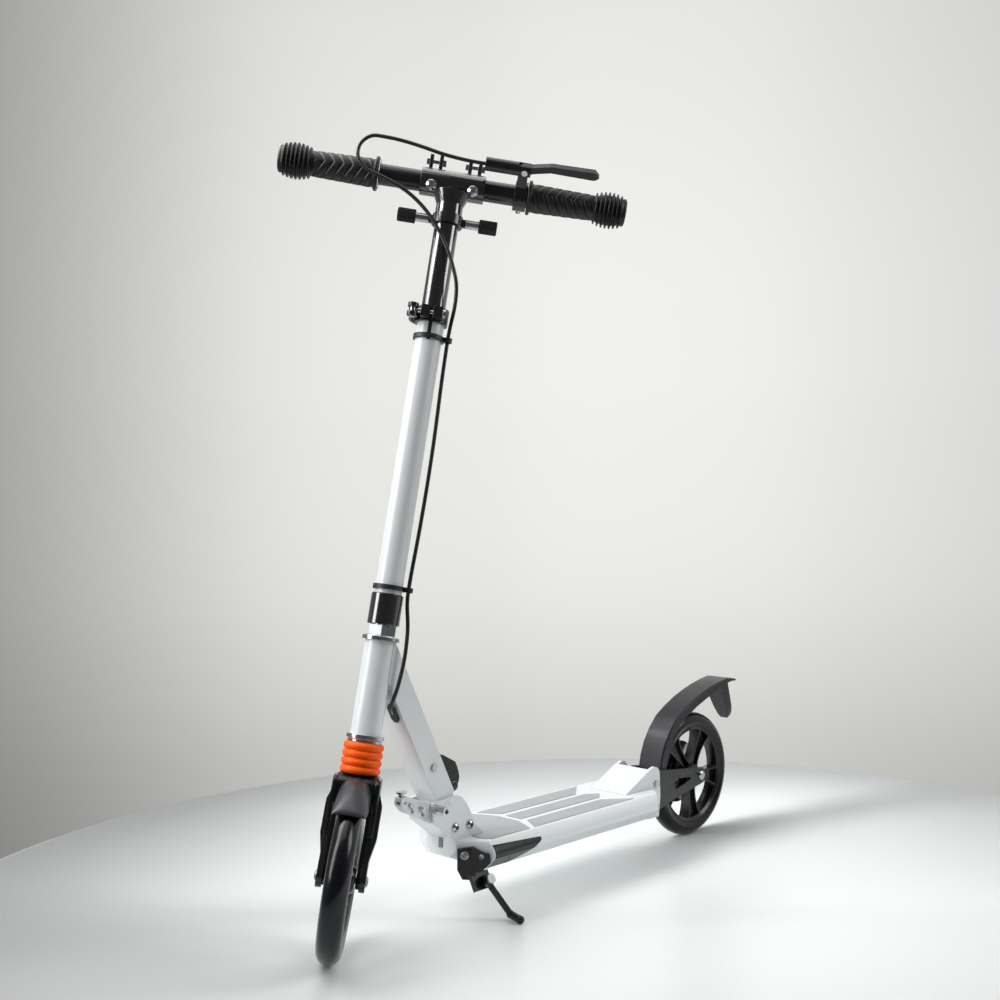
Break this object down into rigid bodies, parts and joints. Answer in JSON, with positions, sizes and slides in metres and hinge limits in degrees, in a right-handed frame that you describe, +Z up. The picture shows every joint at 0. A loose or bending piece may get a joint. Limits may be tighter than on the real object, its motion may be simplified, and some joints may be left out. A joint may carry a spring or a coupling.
{
  "type": "kick scooter",
  "caption": "Folding kick scooter: sprung front fork and rear arm, height-set T bar with brake lever, pull-out grips, kickstand and rear guard.",
  "frame": {"origin": "centre of the bounding box at the floor", "axes": "+X forwards along the deck, +Y to the rider's left, +Z up; the scooter leans about 2 degrees left on its kickstand with the bar turned about 45 degrees to the left"},
  "size_m": [0.9422, 0.3512, 1.0307],
  "materials": {
    "white_paint": "gloss",
    "black_paint": "satin",
    "black_plastic": "satin",
    "grey_plastic": "matte",
    "grip_rubber": "matte",
    "tyre_black": "gloss",
    "rim_black": "gloss",
    "silver": "polished",
    "orange_rubber": "satin",
    "grip_grey": "matte",
    "cable_black": "satin"
  },
  "bodies": {
    "deck": {"deck": "white_paint", "grip_tape": "grip_grey", "hinge_bracket": "white_paint", "hinge_bolts": "silver", "latch_plate": "white_paint", "side_inserts": "black_plastic", "kickstand_bracket": "black_paint", "kickstand_bolts": "silver", "rear_bracket": "white_paint", "rear_bracket_bolts": "silver", "rear_damper": "grip_rubber"},
    "front_frame": {"head_tube": "white_paint", "down_tube": "white_paint", "fold_block": "white_paint", "headset_cups": "silver", "cable_grommet": "black_plastic", "down_tube_screw": "silver", "brake_cable_lower": "cable_black"},
    "fold_lever": {"fold_lever": "black_paint"},
    "steering": {"steerer_tube": "silver", "headset_locknut": "silver", "stem_collar": "black_paint", "clamp_bolts": "silver", "outer_tube": "white_paint", "cable_clips": "black_plastic", "height_clamp": "black_paint", "bellows": "orange_rubber", "suspension_spring": "silver", "brake_cable_upper": "cable_black"},
    "clamp_lever": {"clamp_lever": "black_paint"},
    "mast": {"inner_tube": "black_paint", "handlebar_tee": "black_paint", "handlebar_bolts": "silver", "grip_holder": "black_plastic"},
    "left_button": {"left_button": "silver"},
    "right_button": {"right_button": "silver"},
    "left_bar": {"left_bar": "black_paint", "left_grip": "grip_rubber", "brake_perch": "black_paint", "perch_bolts": "silver"},
    "right_bar": {"right_bar": "black_paint", "right_grip": "grip_rubber"},
    "brake_lever": {"brake_lever": "black_plastic"},
    "fork": {"fork": "black_paint", "front_fender": "grey_plastic", "front_axle": "silver"},
    "front_wheel": {"front_tyre": "tyre_black", "front_rim": "rim_black", "front_bearings": "silver"},
    "swingarm": {"swingarm": "black_paint", "rear_axle": "silver", "brake_caliper": "black_paint"},
    "rear_fender": {"rear_fender": "grey_plastic", "fender_hinge": "silver"},
    "rear_wheel": {"rear_tyre": "tyre_black", "rear_rim": "rim_black", "rear_bearings": "silver", "brake_rotor": "silver"},
    "kickstand": {"kickstand": "black_paint"}
  },
  "joints": [
    {"name": "fold", "type": "hinge", "parent": "deck", "child": "front_frame", "pos_m": [0.21553, -0.02274, 0.15241], "axis": [0, -0.9996, 0.0279], "range_deg": [0, 78], "deforming": ["brake_cable_lower"]},
    {"name": "fold_lever_swing", "type": "hinge", "parent": "front_frame", "child": "fold_lever", "pos_m": [0.19283, -0.02214, 0.17398], "axis": [0, -0.9996, 0.0279], "range_deg": [0, 60]},
    {"name": "steering", "type": "hinge", "parent": "front_frame", "child": "steering", "pos_m": [0.33396, -0.01976, 0.25908], "axis": [-0.2104, 0.0273, 0.9772], "range_deg": [-100, 12], "deforming": ["brake_cable_upper"]},
    {"name": "front_suspension", "type": "slide", "parent": "steering", "child": "fork", "axis": [-0.2104, 0.0273, 0.9772], "range_m": [0, 0.015], "stiffness_N_per_m": 20000, "springref_m": -0.005, "deforming": ["bellows", "suspension_spring"]},
    {"name": "front_wheel_spin", "type": "hinge", "parent": "fork", "child": "front_wheel", "pos_m": [0.39555, 0.00287, 0.09877], "axis": [-0.6973, 0.6964, -0.1696], "continuous": true},
    {"name": "clamp_lever_swing", "type": "hinge", "parent": "steering", "child": "clamp_lever", "pos_m": [0.25311, -0.00589, 0.79591], "axis": [-0.2104, 0.0273, 0.9772], "range_deg": [0, 100]},
    {"name": "height_slide", "type": "slide", "parent": "steering", "child": "mast", "axis": [-0.2104, 0.0273, 0.9772], "range_m": [-0.07, 0.06]},
    {"name": "left_button_press", "type": "slide", "parent": "mast", "child": "left_button", "axis": [-0.6986, -0.6074, 0.3782], "range_m": [0, 0.003], "stiffness_N_per_m": 400, "springref_m": -0.002},
    {"name": "left_bar_pull", "type": "slide", "parent": "mast", "child": "left_bar", "axis": [-0.6973, 0.6964, -0.1696], "range_m": [0, 0.03]},
    {"name": "right_button_press", "type": "slide", "parent": "mast", "child": "right_button", "axis": [-0.6986, -0.6074, 0.3782], "range_m": [0, 0.003], "stiffness_N_per_m": 400, "springref_m": -0.002},
    {"name": "right_bar_pull", "type": "slide", "parent": "mast", "child": "right_bar", "axis": [0.6973, -0.6964, 0.1696], "range_m": [0, 0.03]},
    {"name": "brake_lever_squeeze", "type": "hinge", "parent": "left_bar", "child": "brake_lever", "pos_m": [0.13459, 0.08665, 0.97925], "axis": [-0.5877, -0.42, 0.6916], "range_deg": [0, 11], "stiffness_Nm_per_rad": 0.6, "springref_deg": -17.19},
    {"name": "rear_suspension", "type": "hinge", "parent": "deck", "child": "swingarm", "pos_m": [-0.22326, -0.02498, 0.07232], "axis": [0, 0.9996, -0.0279], "range_deg": [0, 4], "stiffness_Nm_per_rad": 300, "springref_deg": -2.86, "deforming": ["rear_damper"]},
    {"name": "rear_wheel_spin", "type": "hinge", "parent": "swingarm", "child": "rear_wheel", "pos_m": [-0.35833, -0.02421, 0.09997], "axis": [0, 0.9996, -0.0279], "continuous": true},
    {"name": "rear_fender_press", "type": "hinge", "parent": "swingarm", "child": "rear_fender", "pos_m": [-0.22736, -0.02389, 0.1113], "axis": [0, -0.9996, 0.0279], "range_deg": [0, 4.5], "stiffness_Nm_per_rad": 3, "springref_deg": -11.46},
    {"name": "kickstand_swing", "type": "hinge", "parent": "deck", "child": "kickstand", "pos_m": [0.17878, 0.03452, 0.05368], "axis": [-0.0012, 0.8957, 0.4446], "range_deg": [0, 70]}
  ]
}
